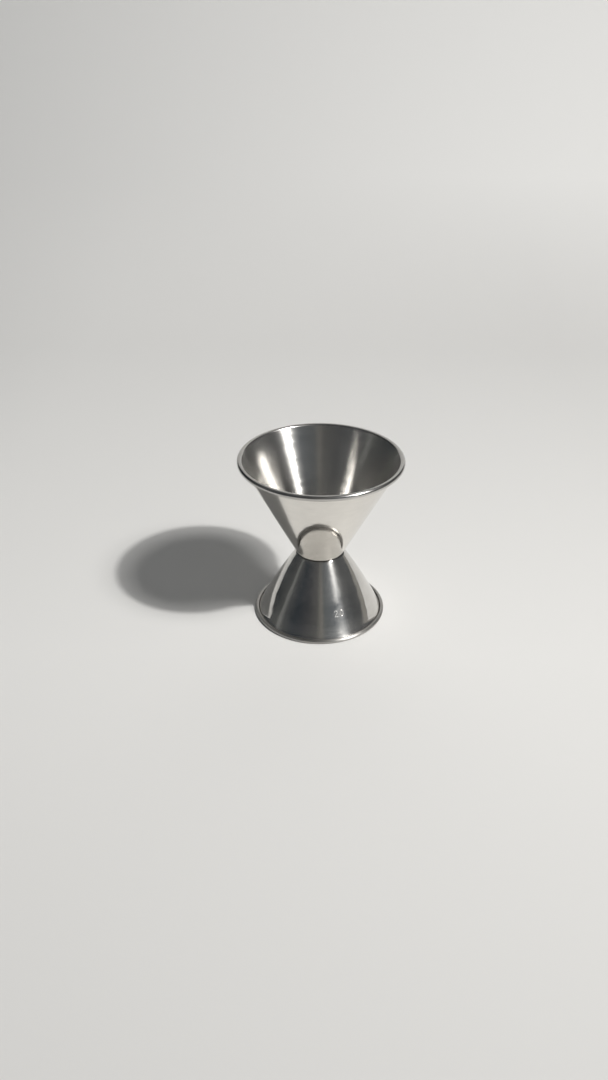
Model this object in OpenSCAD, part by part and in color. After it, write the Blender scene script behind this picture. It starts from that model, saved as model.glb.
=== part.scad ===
// Double cocktail jigger: two cups of sheet steel, joined floor to floor at the waist by a spot weld.
// Millimetres, +Z up. The origin is the middle of the circle on which the small cup's rim stands.

/* [Large cup] */
// Diameter over the large cup's curled rim
large_rim_d = 58.6; // [50:0.2:66]
// Outside diameter of the large rim's curl
large_curl_d = 2; // [1.6:0.1:3]
// Height of the large cup, from the joint at the waist to its rim
large_cup_h = 37.6; // [30:0.2:48]
// Outside radius of the large cup's floor corner
large_corner_r = 1.1; // [0.8:0.1:2.5]

/* [Small cup] */
// Diameter over the small cup's curled rim
small_rim_d = 48.4; // [42:0.2:58]
// Outside diameter of the small rim's curl
small_curl_d = 1.5; // [1.5:0.1:3]
// Height of the small cup, from its rim to the joint at the waist
small_cup_h = 25.4; // [20:0.2:34]
// Outside radius of the small cup's floor corner
small_corner_r = 1.3; // [0.8:0.1:2.5]
// Radius of the outward bow of the small cup's wall
small_bow_r = 220; // [120:5:500]

/* [Sheet and rims] */
// Thickness of the sheet
sheet_t = 0.5; // [0.4:0.05:0.7]
// Gap between the cut edge of a curl and the wall
rim_curl_gap = 0.2; // [0.05:0.05:0.4]
// Width of the flat land on which a rim stands
rim_land_w = 0.6; // [0.2:0.1:1]

/* [Waist] */
// Diameter at which the outsides of the walls would meet the joint
waist_d = 17.2; // [14:0.2:24]
// Diameter of the spot weld
weld_d = 5; // [3:0.5:8]
// Sheet that is left between the spot weld and the inside of a cup
weld_cover = 0.2; // [0.15:0.01:0.3]
// Diameter of the round mark that the weld leaves inside each cup
weld_mark_d = 6; // [4:0.5:9]
// Depth of the mark at its middle
weld_mark_depth = 0.08; // [0.04:0.01:0.12]

/* [Hidden] */

$fn = 180;
corner_steps = 10;
bow_steps = 12;
curl_steps = 48;

large_curl_r = large_curl_d / 2;
small_curl_r = small_curl_d / 2;
waist_r = waist_d / 2;
waist_corner = [waist_r, 0];
weld_half_h = sheet_t - weld_cover;

// The sections below are half sections of one cup with its mouth up: x is the radius and y is the
// height above the joint. An angle of a wall is the direction in which its outside faces.

function unit(a) = [cos(a), sin(a)];
function angle_of(v) = atan2(v.y, v.x);
// Radius of the circle through a chord's ends and the top of the arc over it
function cap_radius(chord, height) = (pow(chord / 2, 2) + pow(height, 2)) / (2 * height);

// How far the land cuts into the round of a curl
function land_drop(curl_r) = curl_r - sqrt(pow(curl_r, 2) - pow(rim_land_w / 2, 2));
// Angle through which a rim is curled, up to its gap
function curl_turn(curl_r) = 360 - acos((curl_r - sheet_t - rim_curl_gap) / curl_r);
function curl_centre(rim_d, cup_h, curl_r) =
    [rim_d / 2 - curl_r, cup_h - curl_r + land_drop(curl_r)];

// A straight wall leaves the waist so that its inside runs smoothly into the curl
function cone_angle(curl, curl_r) =
    let (reach = curl - waist_corner)
    angle_of(reach) + asin((curl_r - sheet_t) / norm(reach)) - 90;

// Middle of the arc of a bowed wall, which starts at the waist and runs smoothly into the curl
function bow_centre(curl, curl_r, bow_r) =
    let (
        reach = curl - waist_corner,
        span = norm(reach),
        along = (pow(bow_r, 2) - pow(bow_r - sheet_t + curl_r, 2) + pow(span, 2)) / (2 * span),
        dir = reach / span
    )
    waist_corner + along * dir + sqrt(pow(bow_r, 2) - pow(along, 2)) * [-dir.y, dir.x];

// Points on an arc round a centre, from one angle to the other, without the first and last few if skipped
function arc(centre, r, from, to, steps, skip = 0) =
    [for (i = [skip:steps - skip]) centre + r * unit(from + (to - from) * i / steps)];

function reversed(points) = [for (i = [len(points) - 1:-1:0]) points[i]];

// One face of the sheet from the middle of the floor to the cut edge of the rim. The inset is the depth of
// this face below the outside, and the roll is the radius at which it goes round the curl.
function floor_and_corner(floor_y, corner, r, foot_angle) =
    concat([[0, floor_y]], arc(corner, r, -90, foot_angle, corner_steps));
function curled_edge(inset, curl, curl_r, rim_angle) =
    let (roll = curl_r - sheet_t + inset)
    arc(curl, roll, 180 + rim_angle, 180 + rim_angle - curl_turn(curl_r), curl_steps);

// A straight wall needs no points between its floor corner and its curl
function straight_face(inset, corner, corner_r, curl, curl_r, wall_angle) =
    concat(
        floor_and_corner(inset, corner, corner_r - inset, wall_angle),
        curled_edge(inset, curl, curl_r, wall_angle)
    );

function bowed_face(inset, corner, corner_r, bow, bow_r, curl, curl_r, foot_angle, rim_angle) =
    concat(
        floor_and_corner(inset, corner, corner_r - inset, foot_angle),
        arc(bow, bow_r - inset, foot_angle, rim_angle, bow_steps, skip = 1),
        curled_edge(inset, curl, curl_r, rim_angle)
    );

// Sheet between its outside and inside face, with the land cut flat across the rim
module sheet_section(outside, inside, rim_d, cup_h) {
    intersection() {
        polygon(concat(outside, reversed(inside)));
        square([rim_d, cup_h]);
    }
}

module large_cup_section() {
    curl = curl_centre(large_rim_d, large_cup_h, large_curl_r);
    wall_angle = cone_angle(curl, large_curl_r);
    corner = [waist_r - large_corner_r * tan((90 + wall_angle) / 2), large_corner_r];
    sheet_section(
        straight_face(0, corner, large_corner_r, curl, large_curl_r, wall_angle),
        straight_face(sheet_t, corner, large_corner_r, curl, large_curl_r, wall_angle),
        large_rim_d,
        large_cup_h
    );
}

module small_cup_section() {
    curl = curl_centre(small_rim_d, small_cup_h, small_curl_r);
    bow = bow_centre(curl, small_curl_r, small_bow_r);
    rise = small_corner_r - bow.y;
    corner = [bow.x + sqrt(pow(small_bow_r - small_corner_r, 2) - pow(rise, 2)), small_corner_r];
    foot_angle = angle_of(corner - bow);
    rim_angle = angle_of(curl - bow);
    sheet_section(
        bowed_face(
            0, corner, small_corner_r, bow, small_bow_r, curl, small_curl_r, foot_angle, rim_angle
        ),
        bowed_face(
            sheet_t, corner, small_corner_r, bow, small_bow_r, curl, small_curl_r, foot_angle, rim_angle
        ),
        small_rim_d,
        small_cup_h
    );
}

// Half of the weld nugget: the part that lies in one floor
module weld_cap_circle() {
    r = cap_radius(weld_d, weld_half_h);
    translate([0, weld_half_h - r])
        circle(r);
}

// Shallow round mark in the inside of a floor
module weld_mark_section() {
    r = cap_radius(weld_mark_d, weld_mark_depth);
    intersection() {
        translate([0, sheet_t - weld_mark_depth + r])
            circle(r);
        square([weld_mark_d, 2 * sheet_t]);
    }
}

// A cup turned from its section, with the nugget's seat below its floor and the mark above it
module turned_cup() {
    rotate_extrude()
        difference() {
            children();
            weld_cap_circle();
            weld_mark_section();
        }
}

module large_cup() {
    color("silver")
        translate([0, 0, small_cup_h])
            turned_cup()
                large_cup_section();
}

module small_cup() {
    color("lightgray")
        translate([0, 0, small_cup_h])
            mirror([0, 0, 1])
                turned_cup()
                    small_cup_section();
}

module spot_weld() {
    color("gray")
        translate([0, 0, small_cup_h])
            rotate_extrude()
                intersection() {
                    weld_cap_circle();
                    mirror([0, 1])
                        weld_cap_circle();
                    translate([0, -sheet_t])
                        square([weld_d, 2 * sheet_t]);
                }
}

large_cup();
small_cup();
spot_weld();
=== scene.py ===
import math

import bmesh
import bpy
from mathutils import Matrix, Vector


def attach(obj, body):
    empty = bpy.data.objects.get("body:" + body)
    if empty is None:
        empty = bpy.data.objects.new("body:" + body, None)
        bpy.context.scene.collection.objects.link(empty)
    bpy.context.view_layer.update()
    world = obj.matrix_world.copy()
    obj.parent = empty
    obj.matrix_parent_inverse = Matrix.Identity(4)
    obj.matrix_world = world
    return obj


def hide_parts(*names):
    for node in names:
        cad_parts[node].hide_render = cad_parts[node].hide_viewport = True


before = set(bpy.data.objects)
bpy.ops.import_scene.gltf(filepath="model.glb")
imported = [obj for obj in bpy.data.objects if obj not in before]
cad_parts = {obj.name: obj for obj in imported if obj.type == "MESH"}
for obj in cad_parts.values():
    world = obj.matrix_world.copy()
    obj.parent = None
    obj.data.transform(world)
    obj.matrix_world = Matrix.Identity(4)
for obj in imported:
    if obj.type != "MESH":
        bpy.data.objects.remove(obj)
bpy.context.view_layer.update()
mm = 0.001
print("frame:", sorted(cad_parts))


# Camera

photoCamera = {
    "spot": (0, -0.2970, 0.20915),
    "pitch": 31.2,  # degrees below level
    "turn": 1.14,  # degrees to the left
    "lens": 31.67,
    "sensor": 36,
    "clip": (0.01, 20),
}


def addCamera(view):
    data = bpy.data.cameras.new("photoCamera")
    data.lens, data.sensor_width = view["lens"], view["sensor"]
    data.clip_start, data.clip_end = view["clip"]
    shot = bpy.data.objects.new("photoCamera", data)
    shot.location = view["spot"]
    shot.rotation_euler = (math.radians(90 - view["pitch"]), 0, math.radians(view["turn"]))
    bpy.context.scene.collection.objects.link(shot)
    bpy.context.scene.camera = shot


addCamera(photoCamera)
bpy.context.scene.view_settings.view_transform = "Standard"
print("camera set")


# Nodes and objects

def addNode(tree, kind, values=None, **settings):  # a socket given as a value is linked
    made = tree.nodes.new("ShaderNode" + kind)
    for key, value in settings.items():
        setattr(made, key, value)
    for key, value in (values or {}).items():
        if isinstance(value, bpy.types.NodeSocket):
            tree.links.new(value, made.inputs[key])
        else:
            made.inputs[key].default_value = value
    return made


def remap(tree, value, low, high, newLow, newHigh):
    return addNode(tree, "MapRange", {
        "Value": value, "From Min": low, "From Max": high, "To Min": newLow, "To Max": newHigh,
    }).outputs["Result"]


def mixColour(tree, share, first, second, blend="MIX"):
    return addNode(
        tree, "Mix", {"Factor": share, 6: first, 7: second}, data_type="RGBA", blend_type=blend,
    ).outputs[2]


def maths(tree, operation, *values):
    return addNode(tree, "Math", dict(enumerate(values)), operation=operation).outputs["Value"]


def noise(tree, place, scale, detail, roughness=0.5):
    return addNode(tree, "TexNoise", {
        "Vector": place, "Scale": scale, "Detail": detail, "Roughness": roughness,
    }).outputs["Fac"]


def bumped(tree, height, distance, strength=1.0):
    return addNode(tree, "Bump", {
        "Height": height, "Strength": strength, "Distance": distance,
    }).outputs["Normal"]


def newMaterial(name):
    made = bpy.data.materials.new(name)
    made.use_nodes = True
    made.node_tree.nodes.clear()
    return made, made.node_tree


def finishMaterial(tree, shader):
    addNode(tree, "OutputMaterial", {"Surface": shader})


def meshObject(name, bm, materials):
    mesh = bpy.data.meshes.new(name)
    bm.to_mesh(mesh)
    bm.free()
    for material in materials:
        mesh.materials.append(material)
    made = bpy.data.objects.new(name, mesh)
    bpy.context.scene.collection.objects.link(made)
    return made


# Studio: a pale paper sweep, a small near lamp with a wide far one, and a dim room

paperSweep = {
    # painted light and shade: the paper is lighter on the left and darker on the right and near the
    # camera, to even out the near lamp's falloff
    "left": (0.87, 0.866, 0.855, 1),
    "right": (0.715, 0.711, 0.702, 1),
    "fade": 0.15,  # distance from the middle at which the paper has its end colours
    "risen": (0.845, 0.842, 0.833, 1),
    "risenFrom": 0,  # height at which the paper starts to take its risen colour
    "risenTo": 0.07,
    "near": (0.865, 0.865, 0.865, 1),  # painted shade near the camera: share of the colour there
    "nearFrom": -0.03,
    "nearTo": -0.19,
    "halfWidth": 0.42,
    "front": -1.2,
    "back": 0.28,  # where the paper starts to rise
    "riseRadius": 0.3,
    "top": 1.2,
    "riseSteps": 24,
    "roughness": 0.9,
    "specular": 0.1,
    "toothScale": 900,
    "toothStrength": 0.05,
    "toothDepth": 0.0002,
}

lampLook = {"aim": (0, 0, 0.03), "colour": (1, 0.987, 0.962)}
lampMiddle = {"spot": (0.457, -0.246, 0.632), "diameter": 0.028, "power": 3.45}
lampGlow = {"spot": (0.982, -0.484, 1.266), "diameter": 0.34, "power": 13.3}  # softens the shadow

room = {
    "ceiling": (0.095, 0.098, 0.1, 1),
    "ceilingFrom": 0.45,  # height of the view direction at which the walls give way to the ceiling
    "ceilingTo": 0.75,
    "skirting": (0.28, 0.27, 0.25, 1),  # a low pale band on the right
    "skirtingHeights": (0.06, 0.085),  # full and gone, as height of the view direction
    "skirtingTurn": (70, 95),  # none and full, in degrees like the walls
    "walls": [  # degrees from the front, to the right, and the tone there
        (-180, (0.08, 0.085, 0.09, 1)),
        (-120, (0.035, 0.04, 0.044, 1)),
        (-100, (0.05, 0.054, 0.056, 1)),
        (-86, (0.07, 0.074, 0.074, 1)),
        (-80, (0.19, 0.195, 0.19, 1)),
        (-72, (0.07, 0.074, 0.076, 1)),
        (-50, (0.03, 0.037, 0.045, 1)),
        (-28, (0.05, 0.053, 0.058, 1)),
        (-6, (0.10, 0.10, 0.098, 1)),
        (4, (0.20, 0.195, 0.18, 1)),
        (12, (0.13, 0.14, 0.145, 1)),
        (36, (0.15, 0.165, 0.18, 1)),
        (48, (0.34, 0.355, 0.37, 1)),
        (58, (0.12, 0.125, 0.13, 1)),
        (80, (0.085, 0.088, 0.09, 1)),
        (180, (0.08, 0.085, 0.09, 1)),
    ],
}


def buildSweep(paper):
    material, tree = newMaterial("paperSweep")
    coords = addNode(tree, "TexCoord").outputs["Object"]
    place = addNode(tree, "SeparateXYZ", {0: coords}).outputs
    # painted light on the left, painted shade on the right and near the camera
    across = remap(tree, place["X"], -paper["fade"], paper["fade"], 0, 1)
    floor = mixColour(tree, across, paper["left"], paper["right"])
    up = remap(tree, place["Z"], paper["risenFrom"], paper["risenTo"], 0, 1)
    near = remap(tree, place["Y"], paper["nearFrom"], paper["nearTo"], 0, 1)
    tone = mixColour(tree, near, mixColour(tree, up, floor, paper["risen"]), paper["near"], "MULTIPLY")
    tooth = noise(tree, coords, paper["toothScale"], detail=3)
    shader = addNode(tree, "BsdfPrincipled", {
        "Base Color": tone, "Roughness": paper["roughness"], "Specular IOR Level": paper["specular"],
        "Normal": bumped(tree, tooth, paper["toothDepth"], paper["toothStrength"]),
    })
    finishMaterial(tree, shader.outputs["BSDF"])
    bm = bmesh.new()
    ends = [bm.verts.new((side * paper["halfWidth"], paper["front"], 0)) for side in (-1, 1)]
    strip = pullStrip(bm, [bm.edges.new(ends)], (0, paper["back"] - paper["front"], 0))
    corners = [v for edge in strip for v in edge.verts]
    strip = bmesh.ops.spin(
        bm, geom=strip + corners, cent=(0, paper["back"], paper["riseRadius"]),
        axis=(1, 0, 0), angle=math.radians(90), steps=paper["riseSteps"],
    )["geom_last"]
    pullStrip(bm, onlyEdges(strip), (0, 0, paper["top"] - paper["riseRadius"]))
    bmesh.ops.recalc_face_normals(bm, faces=bm.faces)
    for face in bm.faces:
        face.smooth = True
    meshObject("paperSweep", bm, [material])


def onlyEdges(parts):
    return [part for part in parts if isinstance(part, bmesh.types.BMEdge)]


def pullStrip(bm, edges, shift):
    made = bmesh.ops.extrude_edge_only(bm, edges=edges)["geom"]
    ends = [part for part in made if isinstance(part, bmesh.types.BMVert)]
    bmesh.ops.translate(bm, verts=ends, vec=shift)
    return onlyEdges(made)


def addLamp(name, lamp):
    data = bpy.data.lights.new(name, "AREA")
    data.shape, data.size = "DISK", lamp["diameter"]
    data.energy, data.color = lamp["power"], lampLook["colour"]
    made = bpy.data.objects.new(name, data)
    made.location = lamp["spot"]
    way = Vector(lampLook["aim"]) - Vector(lamp["spot"])
    made.rotation_euler = way.to_track_quat("-Z", "Y").to_euler()
    bpy.context.scene.collection.objects.link(made)


def setRoom(dim):
    world = bpy.data.worlds.new("room")
    world.use_nodes = True
    tree = world.node_tree
    tree.nodes.clear()
    look = addNode(tree, "SeparateXYZ", {0: addNode(tree, "TexCoord").outputs["Generated"]}).outputs
    turn = maths(tree, "ARCTAN2", look["X"], maths(tree, "MULTIPLY", look["Y"], -1))
    walls = addNode(tree, "ValToRGB", {"Fac": remap(tree, turn, -math.pi, math.pi, 0, 1)})
    stops = walls.color_ramp.elements
    stops.remove(stops[1])
    for i, (angle, tone) in enumerate(dim["walls"]):
        stop = stops[0] if i == 0 else stops.new((angle + 180) / 360)
        stop.position, stop.color = (angle + 180) / 360, tone
    lift = remap(tree, look["Z"], dim["ceilingFrom"], dim["ceilingTo"], 0, 1)
    below = remap(tree, look["Z"], *dim["skirtingHeights"], 1, 0)
    onRight = remap(tree, turn, *[math.radians(angle) for angle in dim["skirtingTurn"]], 0, 1)
    band = maths(tree, "MULTIPLY", below, onRight)
    lower = mixColour(tree, band, walls.outputs["Color"], dim["skirting"])
    tone = mixColour(tree, lift, lower, dim["ceiling"])
    back = addNode(tree, "Background", {"Color": tone})
    addNode(tree, "OutputWorld", {"Surface": back.outputs["Background"]})
    bpy.context.scene.world = world


buildSweep(paperSweep)
addLamp("lampMiddle", lampMiddle)
addLamp("lampGlow", lampGlow)
setRoom(room)
print("studio set")


# Steel finishes

noiseSpan = (0.3, 0.7)  # the part of a noise that is used
smudgeSpan = (0.35, 0.7)
acrossLines = 0.25  # spreads the sheen across the lines


def spunPattern(tree, slope, around, along):  # long along the turning direction, fine along the wall
    place = addNode(tree, "TexCoord").outputs["Object"]
    flat = addNode(tree, "VectorMath", {0: place, 1: (1, 1, 0)}, operation="MULTIPLY").outputs["Vector"]
    radius = addNode(tree, "VectorMath", {0: flat}, operation="LENGTH").outputs["Value"]
    aim = addNode(tree, "VectorMath", {0: flat}, operation="NORMALIZE").outputs["Vector"]
    height = addNode(tree, "SeparateXYZ", {0: place}).outputs["Z"]
    run = maths(tree, "MULTIPLY_ADD", height, slope, radius)
    lift = addNode(tree, "CombineXYZ", {"Z": run}).outputs["Vector"]
    lifted = addNode(tree, "VectorMath", {0: lift, "Scale": along}, operation="SCALE").outputs["Vector"]
    return addNode(
        tree, "VectorMath", {0: aim, 1: (around, around, around), 2: lifted}, operation="MULTIPLY_ADD"
    ).outputs["Vector"]


def steelColour(tree, value, dark, light):
    ramp = addNode(tree, "ValToRGB", {"Fac": value})
    for stop, place, tone in zip(ramp.color_ramp.elements, noiseSpan, (dark, light)):
        stop.position, stop.color = place, tone
    return ramp.outputs["Color"]


def lineDirection(tree, finish, lines):
    level = addNode(tree, "Tangent", direction_type="RADIAL", axis="Z").outputs["Tangent"]
    parts = addNode(tree, "SeparateXYZ", {0: level}).outputs
    allRound, onSides = finish["climb"]
    stray = remap(tree, lines, *noiseSpan, allRound - finish["stray"], allRound + finish["stray"])
    rise = maths(tree, "MULTIPLY_ADD", parts["Y"], onSides, stray)
    return addNode(tree, "CombineXYZ", {"X": parts["X"], "Y": parts["Y"], "Z": rise}).outputs["Vector"]


def steelShader(tree, colour, roughness, normal, anisotropy=0, along=None):
    values = {"Base Color": colour, "Metallic": 1.0, "Roughness": roughness, "Normal": normal}
    if along is not None:
        values.update({"Anisotropic": anisotropy, "Anisotropic Rotation": acrossLines, "Tangent": along})
    return addNode(tree, "BsdfPrincipled", values).outputs["BSDF"]


polish = {
    "dark": (0.74, 0.72, 0.68, 1),
    "light": (0.80, 0.775, 0.735, 1),
    "lines": (4, 1400),  # how fine the pattern is, around and along the wall
    "sharp": (0.03, 0.07),  # roughness of the mirror
    "haze": (0.04, 0.12),  # share of the second sheen
    "smudgeScale": 130,
    "smudgeRoughness": 0.55,
    "hazeRoughness": (0.28, 0.36),
    "anisotropy": 0.95,
    "climb": (0, 0),  # rise of the lines as they go round: all round, and on the sides
    "stray": 0,  # how far single lines leave that rise
    "lowHaze": 0,  # added at the foot
    "lowHeights": (0.0025, 0.008),
    "highHaze": 0,  # added below the waist
    "highHeights": (0.010, 0.015),
    "waveScale": 160,
    "waveDistance": 0.00002,
    "jointShade": (0.2, 0.195, 0.19, 1),  # painted shade: dark colour in the joint at the waist, where the cups meet
    "grooveHeight": 0.0254,
    "grooveHalf": (0.0001, 0.0004),  # full and no painted shade, above and below the joint
    "stampHaze": 0,
}

footPolish = {
    **polish,
    "dark": (0.67, 0.655, 0.63, 1),
    "light": (0.74, 0.725, 0.70, 1),
    "sharp": (0.04, 0.10),
    "haze": (0, 0.12),
    "smudgeScale": 240,
    "smudgeRoughness": 0.7,
    "hazeRoughness": (0.3, 0.38),
    "anisotropy": 0.9,
    "climb": (-0.165, 0),
    "lowHaze": 0.15,
    "lowHeights": (0.003, 0.0065),
    "highHaze": 0.13,
    "highHeights": (0.0115, 0.016),
    "waveDistance": 0.00006,
    "stampHaze": 0.75,  # added in the strokes of the number
}


def polishedSteel(name, slope, finish):
    material, tree = newMaterial(name)
    place = addNode(tree, "TexCoord").outputs["Object"]
    lines = noise(tree, spunPattern(tree, slope, *finish["lines"]), scale=1, detail=2, roughness=0.6)
    smudge = noise(tree, place, finish["smudgeScale"], detail=4, roughness=finish["smudgeRoughness"])
    waved = bumped(tree, noise(tree, place, finish["waveScale"], detail=1), finish["waveDistance"])
    height = addNode(tree, "SeparateXYZ", {0: place}).outputs["Z"]
    # painted shade in the joint at the waist: the colour darkens near the joint's height
    apart = maths(tree, "ABSOLUTE", maths(tree, "SUBTRACT", height, finish["grooveHeight"]))
    jointShadeShare = remap(tree, apart, *finish["grooveHalf"], 1, 0)
    steel = steelColour(tree, lines, finish["dark"], finish["light"])
    colour = mixColour(tree, jointShadeShare, steel, finish["jointShade"])
    along = lineDirection(tree, finish, lines)
    mirror = steelShader(tree, colour, remap(tree, smudge, *smudgeSpan, *finish["sharp"]), waved)
    spread = remap(tree, lines, *noiseSpan, *finish["hazeRoughness"])
    haze = steelShader(tree, colour, spread, waved, finish["anisotropy"], along)
    cloudy = remap(tree, smudge, *smudgeSpan, *finish["haze"])
    low = remap(tree, height, *finish["lowHeights"], finish["lowHaze"], 0)
    high = remap(tree, height, *finish["highHeights"], 0, finish["highHaze"])
    share = maths(tree, "ADD", cloudy, maths(tree, "ADD", low, high))
    if finish["stampHaze"]:
        stamped = addNode(tree, "Attribute", attribute_name="stamped").outputs["Fac"]
        share = maths(tree, "MULTIPLY_ADD", stamped, finish["stampHaze"], share)
    finishMaterial(tree, addNode(tree, "MixShader", {"Fac": share, 1: mirror, 2: haze}).outputs["Shader"])
    return material


brush = {
    "dark": (0.655, 0.64, 0.615, 1),
    "light": (0.735, 0.72, 0.69, 1),
    "fineLines": (5, 3000),
    "broadLines": (2.5, 450),
    "sheen": (0.17, 0.2),
    "sheenAnisotropy": 1,
    "satin": (0.42, 0.48),
    "satinAnisotropy": 1,
    "satinShare": (0.08, 0.16),
    "climb": (-0.05, 0.124),
    "stray": 0.065,
    "lineDistance": 0.000003,
}


def brushedSteel(name, slope, finish):
    material, tree = newMaterial(name)
    fine = noise(tree, spunPattern(tree, slope, *finish["fineLines"]), scale=1, detail=3, roughness=0.7)
    broad = noise(tree, spunPattern(tree, slope, *finish["broadLines"]), scale=1, detail=3, roughness=0.6)
    colour = steelColour(tree, broad, finish["dark"], finish["light"])
    lined = bumped(tree, broad, finish["lineDistance"])
    along = lineDirection(tree, finish, broad)
    sheen, satin = [
        steelShader(
            tree, colour, remap(tree, broad, *noiseSpan, *finish[part]), lined,
            finish[part + "Anisotropy"], along,
        )
        for part in ("sheen", "satin")
    ]
    share = remap(tree, fine, *noiseSpan, *finish["satinShare"])
    finishMaterial(tree, addNode(tree, "MixShader", {"Fac": share, 1: sheen, 2: satin}).outputs["Shader"])
    return material


curlSatin = {
    "dark": (0.48, 0.47, 0.455, 1),
    "light": (0.60, 0.585, 0.565, 1),
    "lines": (6, 2200),
    "roughness": (0.17, 0.23),
    "anisotropy": 0,
    "climb": (0, 0),
    "stray": 0,
    "lineDistance": 0.000001,
}

footCurlSatin = {
    **curlSatin,
    "dark": (0.44, 0.43, 0.415, 1),
    "light": (0.54, 0.525, 0.505, 1),
    "roughness": (0.4, 0.45),
    "anisotropy": 0.8,
}


def rolledSteel(name, slope, finish):
    material, tree = newMaterial(name)
    lines = noise(tree, spunPattern(tree, slope, *finish["lines"]), scale=1, detail=2, roughness=0.6)
    lined = bumped(tree, lines, finish["lineDistance"])
    colour = steelColour(tree, lines, finish["dark"], finish["light"])
    roughness = remap(tree, lines, *noiseSpan, *finish["roughness"])
    along = lineDirection(tree, finish, lines)
    finishMaterial(tree, steelShader(tree, colour, roughness, lined, finish["anisotropy"], along))
    return material


weld = {
    "dark": (0.36, 0.35, 0.34, 1),
    "light": (0.56, 0.55, 0.53, 1),
    "roughness": (0.35, 0.6),
    "grainScale": 2500,
    "grainStrength": 0.4,
    "grainDepth": 0.00002,
}


def weldSteel(name, finish):
    material, tree = newMaterial(name)
    place = addNode(tree, "TexCoord").outputs["Object"]
    grain = noise(tree, place, finish["grainScale"], detail=4)
    rough = bumped(tree, grain, finish["grainDepth"], finish["grainStrength"])
    colour = steelColour(tree, grain, finish["dark"], finish["light"])
    roughness = remap(tree, grain, *noiseSpan, *finish["roughness"])
    finishMaterial(tree, steelShader(tree, colour, roughness, rough))
    return material


# Cups: half sections drawn mouth up from the joint, x the radius and z the height, then spun

sheet = {"thickness": 0.5, "curlGap": 0.2, "landHalf": 0.3, "joint": 25.4, "waistRadius": 8.6}
nugget = {"radius": 2.5, "halfHeight": 0.3}
weldMark = {"radius": 3, "depth": 0.08}
cutEdge = {"bevel": 0.07, "steps": 3}
support = {"wall": 0.04, "floor": 0.1, "mark": 0.05, "bow": 0.01}  # short runs by bends, bow in degrees
mergeDistance = 1e-7

meshSteps = {
    "cornerOutside": 14,
    "cornerInside": 12,
    "hollow": 30,
    "bead": 34,
    "rimInside": 10,
    "flareOutside": 16,
    "flareInside": 12,
    "nugget": 6,
    "mark": 8,
    "bowOutside": (1, 14, 54, 5, 1),  # finest at the number
    "bowInside": (1, 4, 22, 10, 1),
}

faceLimits = {"curl": 0.02, "curlFacing": -0.1, "insideFacing": 0.05}

largeCup = {
    "rimRadius": 29.285,  # a hair inside the solid, and so are the height and the curl
    "height": 37.585,
    "curlRadius": 0.985,
    "cornerRadius": 1.1,
    "sector": 30,
    "sectorSteps": 25,
    "copies": 11,
}

smallCup = {
    "rimRadius": 24.185,
    "height": 25.385,
    "curlRadius": 0.735,
    "cornerRadius": 1.3,
    "bowRadius": 240,
    "flareRadius": 10,  # hollow bend of the wall just above the bead
    "flareTurn": 14,
    "firstGuess": -45,  # of the angle at the curl
    "rounds": 30,
    "sector": 43.5,
    "sectorSteps": 35,
    "copies": 7,
}

number = {
    "angle": -67.5,  # degrees from +X
    "height": 8.9,  # above the foot
    "sector": 12,
    "sectorSteps": 68,
    "scale": 0.72,
    "halfWidth": 0.28,
    "depths": (0.022, 0.06),  # of the two digits, the second shows more clearly
    "insideDepth": 0.45,  # share that shows through on the inside
    "insideWidth": 1.5,
    "reach": (2.6, 2.2),  # across and up from the middle
    "band": 0.42,  # degrees of the bow above and below the middle
    "slack": 0.05,  # beyond the faces of the wall
}

two = {
    "middle": (-1.45, 0.75),
    "radius": 0.72,
    "from": 165,
    "turn": 205,
    "parts": 14,
    "base": ((-2.21, -1.45), (-0.71, -1.45)),
}

nought = {"middle": 1.42, "halfWidth": 0.74, "halfHeight": 1.47, "parts": 24}


def unit(angle):
    return Vector((math.cos(math.radians(angle)), math.sin(math.radians(angle))))


def angleOf(way):
    return math.degrees(math.atan2(way.y, way.x))


def capRadius(halfChord, height):
    return (halfChord ** 2 + height ** 2) / (2 * height)


def curlMiddle(cup):
    rise = math.sqrt(cup["curlRadius"] ** 2 - sheet["landHalf"] ** 2)
    return Vector((cup["rimRadius"] - cup["curlRadius"], cup["height"] - rise))


def curlTurn(cup):  # up to the gap between the cut edge and the wall
    hollow = cup["curlRadius"] - sheet["thickness"] - sheet["curlGap"]
    return 360 - math.degrees(math.acos(hollow / cup["curlRadius"]))


def wallAngle(cup):  # that the outside of a straight wall faces
    reach = curlMiddle(cup) - Vector((sheet["waistRadius"], 0))
    lean = math.asin((cup["curlRadius"] - sheet["thickness"]) / reach.length)
    return angleOf(reach) + math.degrees(lean) - 90


def bowedWall(cup):  # middles of the bow and of the flare before the curl, and the angle at the curl
    start, bow, flare = Vector((sheet["waistRadius"], 0)), cup["bowRadius"], cup["flareRadius"]
    hollow = cup["curlRadius"] - sheet["thickness"]
    rimAngle = cup["firstGuess"]
    for _ in range(cup["rounds"]):  # settles on the angle at which both arcs meet smoothly
        flareMiddle = curlMiddle(cup) + (flare - hollow) * unit(rimAngle)
        reach = flareMiddle - start
        along = (bow ** 2 - (bow + flare) ** 2 + reach.length_squared) / (2 * reach.length)
        aim = reach.normalized()
        bowMiddle = start + along * aim + math.sqrt(bow ** 2 - along ** 2) * Vector((-aim.y, aim.x))
        rimAngle = angleOf(flareMiddle - bowMiddle) - cup["flareTurn"]
    return bowMiddle, flareMiddle, rimAngle


def startLine(bm, point):
    return bm.verts.new((point[0] * mm, 0, point[1] * mm))


def lineTo(bm, tip, point):
    tip = bmesh.ops.extrude_vert_indiv(bm, verts=[tip])["verts"][0]
    tip.co = (point[0] * mm, 0, point[1] * mm)
    return tip


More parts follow.
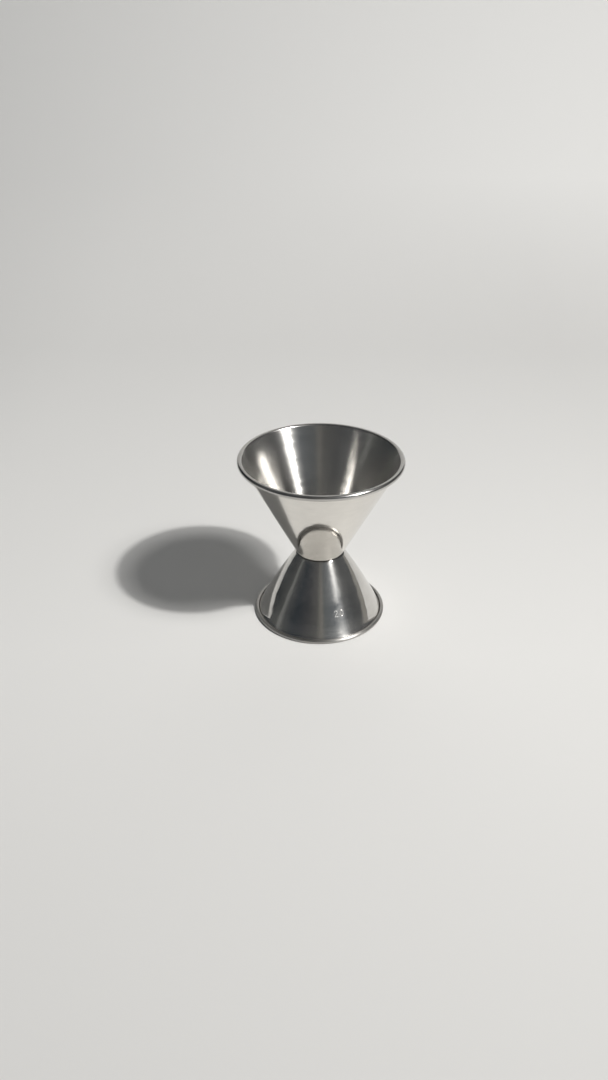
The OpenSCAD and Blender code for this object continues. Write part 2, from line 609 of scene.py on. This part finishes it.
def bendRound(bm, tip, centre, turn, steps):  # a positive turn is anticlockwise
    made = bmesh.ops.spin(
        bm, geom=[tip], cent=(centre[0] * mm, 0, centre[1] * mm), axis=(0, -1, 0),
        angle=math.radians(turn), steps=steps,
    )
    return [part for part in made["geom_last"] if isinstance(part, bmesh.types.BMVert)][0]


def straightWall(bm, tip, end):  # short ends keep the bends from shading the wall
    start = Vector((tip.co.x, tip.co.z)) / mm
    run = (end - start).normalized() * support["wall"]
    for point in (start + run, end - run, end):
        tip = lineTo(bm, tip, point)
    return tip


def bendInParts(bm, tip, centre, stops, steps):
    for (start, stop), count in zip(zip(stops, stops[1:]), steps):
        tip = bendRound(bm, tip, centre, stop - start, count)
    return tip


def drawCurl(bm, tip, cup, rimAngle):  # round the hollow, the cut edge, the bead and the land
    curl, radius, turn = curlMiddle(cup), cup["curlRadius"], curlTurn(cup)
    land = math.degrees(math.asin(sheet["landHalf"] / radius))
    first = 180 + rimAngle
    tip = bendRound(bm, tip, curl, -turn, meshSteps["hollow"])
    edge = [tip]
    tip = lineTo(bm, tip, curl + radius * unit(first - turn))
    edge.append(tip)
    tip = bendRound(bm, tip, curl, turn - (first - 90) - land, meshSteps["bead"])
    tip = lineTo(bm, tip, curl + radius * unit(90 + land))
    tip = bendRound(bm, tip, curl, first - 90 - land, meshSteps["rimInside"])
    bmesh.ops.bevel(
        bm, geom=edge, affect="VERTICES", offset=cutEdge["bevel"] * mm, offset_type="OFFSET",
        segments=cutEdge["steps"], profile=0.5, material=-1,
    )
    return tip


def drawFloorOutside(bm, corner):
    cap = capRadius(nugget["radius"], nugget["halfHeight"])
    tip = startLine(bm, (0, nugget["halfHeight"]))
    dip = math.degrees(math.asin(nugget["radius"] / cap))
    tip = bendRound(bm, tip, (0, nugget["halfHeight"] - cap), -dip, meshSteps["nugget"])
    tip = lineTo(bm, tip, (corner[0] - support["floor"], 0))
    return lineTo(bm, tip, (corner[0], 0))


def drawFloorInside(bm, tip, corner):
    cap = capRadius(weldMark["radius"], weldMark["depth"])
    tip = lineTo(bm, tip, (corner[0] - support["floor"], sheet["thickness"]))
    tip = lineTo(bm, tip, (weldMark["radius"] + support["mark"], sheet["thickness"]))
    tip = lineTo(bm, tip, (weldMark["radius"], sheet["thickness"]))
    dip = math.degrees(math.asin(weldMark["radius"] / cap))
    middle = (0, sheet["thickness"] - weldMark["depth"] + cap)
    return bendRound(bm, tip, middle, -dip, meshSteps["mark"])


def drawLargeSection(bm, cup):
    angle, bend = wallAngle(cup), cup["cornerRadius"]
    corner = Vector((sheet["waistRadius"] - bend * math.tan(math.radians((90 + angle) / 2)), bend))
    hollow = cup["curlRadius"] - sheet["thickness"]
    tip = drawFloorOutside(bm, corner)
    tip = bendRound(bm, tip, corner, 90 + angle, meshSteps["cornerOutside"])
    tip = straightWall(bm, tip, curlMiddle(cup) - hollow * unit(angle))
    tip = drawCurl(bm, tip, cup, angle)
    tip = straightWall(bm, tip, corner + (bend - sheet["thickness"]) * unit(angle))
    tip = bendRound(bm, tip, corner, -90 - angle, meshSteps["cornerInside"])
    drawFloorInside(bm, tip, corner)


def drawSmallSection(bm, cup):
    bow, flare, rimAngle = bowedWall(cup)
    bend, turn = cup["cornerRadius"], cup["flareTurn"]
    reach = cup["bowRadius"] - bend
    corner = Vector((bow.x + math.sqrt(reach ** 2 - (bend - bow.y) ** 2), bend))
    foot, rim = angleOf(corner - bow), rimAngle + turn
    middle, band, end = stampAngle(cup), number["band"], support["bow"]
    stops = [foot, foot + end, middle - band, middle + band, rim - end, rim]
    tip = drawFloorOutside(bm, corner)
    tip = bendRound(bm, tip, corner, 90 + foot, meshSteps["cornerOutside"])
    tip = bendInParts(bm, tip, bow, stops, meshSteps["bowOutside"])
    tip = bendRound(bm, tip, flare, -turn, meshSteps["flareOutside"])
    tip = drawCurl(bm, tip, cup, rimAngle)
    tip = bendRound(bm, tip, flare, turn, meshSteps["flareInside"])
    tip = bendInParts(bm, tip, bow, stops[::-1], meshSteps["bowInside"])
    tip = bendRound(bm, tip, corner, -90 - foot, meshSteps["cornerInside"])
    drawFloorInside(bm, tip, corner)


def stampAngle(cup):
    rise = sheet["joint"] - number["height"] - bowedWall(cup)[0].y
    return math.degrees(math.asin(rise / cup["bowRadius"]))


def strokePoints():  # a plain 2 and 0 round the middle of the number, before they are scaled
    turns = [two["from"] - two["turn"] * i / two["parts"] for i in range(two["parts"] + 1)]
    first = [Vector(two["middle"]) + two["radius"] * unit(turn) for turn in turns]
    first += [Vector(point) for point in two["base"]]
    ways = [unit(360 * i / nought["parts"]) for i in range(nought["parts"] + 1)]
    wide, high = nought["halfWidth"], nought["halfHeight"]
    second = [Vector((nought["middle"] + wide * way.x, high * way.y)) for way in ways]
    return [first, second]


def strokeDistance(point, line):
    best = 1e9
    for a, b in zip(line, line[1:]):
        share = max(0, min(1, (point - a).dot(b - a) / (b - a).length_squared))
        best = min(best, (point - a - share * (b - a)).length)
    return best


def stampNumber(bm, cup):
    bow, middle = bowedWall(cup)[0], stampAngle(cup)
    strokes = [[point * number["scale"] for point in line] for line in strokePoints()]
    stamped = bm.verts.layers.float.new("stamped")
    for v in bm.verts:
        radius = math.hypot(v.co.x, v.co.y) / mm
        across = math.radians(angleOf(v.co) - number["angle"]) * radius
        fromBow = Vector((radius, v.co.z / mm)) - bow
        up = math.radians(middle - angleOf(fromBow)) * cup["bowRadius"]
        depthIn = cup["bowRadius"] - fromBow.length
        onWall = -number["slack"] < depthIn < sheet["thickness"] + number["slack"]
        if abs(across) > number["reach"][0] or abs(up) > number["reach"][1] or not onWall:
            continue
        outside = depthIn < sheet["thickness"] / 2
        width = number["halfWidth"] * (1 if outside else number["insideWidth"])
        pressed = 1 if outside else number["insideDepth"]
        push = 0
        for line, depth in zip(strokes, number["depths"]):
            near = max(0, 1 - strokeDistance(Vector((across, up)), line) / width)
            push = max(push, depth * pressed * near * near * (3 - 2 * near) * mm)
        if outside:
            v[stamped] = push / (max(number["depths"]) * mm)
        wall = fromBow.normalized() * push
        away = Vector((v.co.x, v.co.y, 0)).normalized()
        v.co -= away * wall.x + Vector((0, 0, wall.y))


def spinCup(name, cup, drawSection, sectors, startAngle, mirrored, materials):
    bm = bmesh.new()
    drawSection(bm, cup)
    toStart = Matrix.Rotation(math.radians(startAngle), 3, "Z")
    bmesh.ops.rotate(bm, verts=bm.verts, cent=(0, 0, 0), matrix=toStart)
    line = bm.verts[:] + bm.edges[:]
    for turn, steps, copies in sectors:  # one sector is spun, then copied round
        before = set(bm.faces)
        line = bmesh.ops.spin(
            bm, geom=line, cent=(0, 0, 0), axis=(0, 0, 1), angle=math.radians(turn), steps=steps,
        )["geom_last"]
        if copies:
            made = [face for face in bm.faces if face not in before]
            parts = dict.fromkeys(part for face in made for part in (face, *face.edges, *face.verts))
            bmesh.ops.spin(
                bm, geom=list(parts), cent=(0, 0, 0), axis=(0, 0, 1),
                angle=math.radians(turn * copies), steps=copies, use_duplicate=True,
            )
    bmesh.ops.remove_doubles(bm, verts=bm.verts, dist=mergeDistance)
    bmesh.ops.recalc_face_normals(bm, faces=bm.faces)
    curl = curlMiddle(cup)
    for face in bm.faces:
        face.smooth = True
        middle = face.calc_center_median()
        reach = Vector((math.hypot(middle.x, middle.y), middle.z)) / mm - curl
        away = Vector((middle.x, middle.y, 0)).normalized()
        facing = Vector((face.normal.dot(away), face.normal.z))
        near = reach.length < cup["curlRadius"] + faceLimits["curl"]
        onCurl = near and facing.dot(reach) > faceLimits["curlFacing"]
        inside = face.normal.z > faceLimits["insideFacing"]
        face.material_index = 2 if onCurl else int(inside)  # outside 0, inside 1, curl 2
    if "bowRadius" in cup:
        stampNumber(bm, cup)
    if mirrored:
        bmesh.ops.scale(bm, verts=bm.verts, vec=(1, 1, -1))
        bmesh.ops.recalc_face_normals(bm, faces=bm.faces)
    bmesh.ops.translate(bm, verts=bm.verts, vec=(0, 0, sheet["joint"] * mm))
    made = meshObject(name, bm, materials)
    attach(made, "root")
    print(name, len(made.data.polygons), "faces")
    return made


upper = spinCup(
    "largeCup", largeCup, drawLargeSection,
    [(largeCup["sector"], largeCup["sectorSteps"], largeCup["copies"])], 0, False,
    [
        polishedSteel("largeCupPolish", 1.0, polish),
        brushedSteel("largeCupBrush", 1.0, brush),
        rolledSteel("largeCupCurl", 1.0, curlSatin),
    ],
)
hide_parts("large_cup")

lower = spinCup(
    "smallCup", smallCup, drawSmallSection,
    [
        (number["sector"], number["sectorSteps"], 0),
        (smallCup["sector"], smallCup["sectorSteps"], smallCup["copies"]),
    ],
    number["angle"] - number["sector"] / 2, True,
    [
        polishedSteel("smallCupPolish", -1.0, footPolish),
        brushedSteel("smallCupBrush", -1.0, brush),
        rolledSteel("smallCupCurl", -1.0, footCurlSatin),
    ],
)
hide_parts("small_cup")

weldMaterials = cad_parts["spot_weld"].data.materials
weldMaterials.clear()
weldMaterials.append(weldSteel("spotWeldSteel", weld))
print("cups and weld finished")
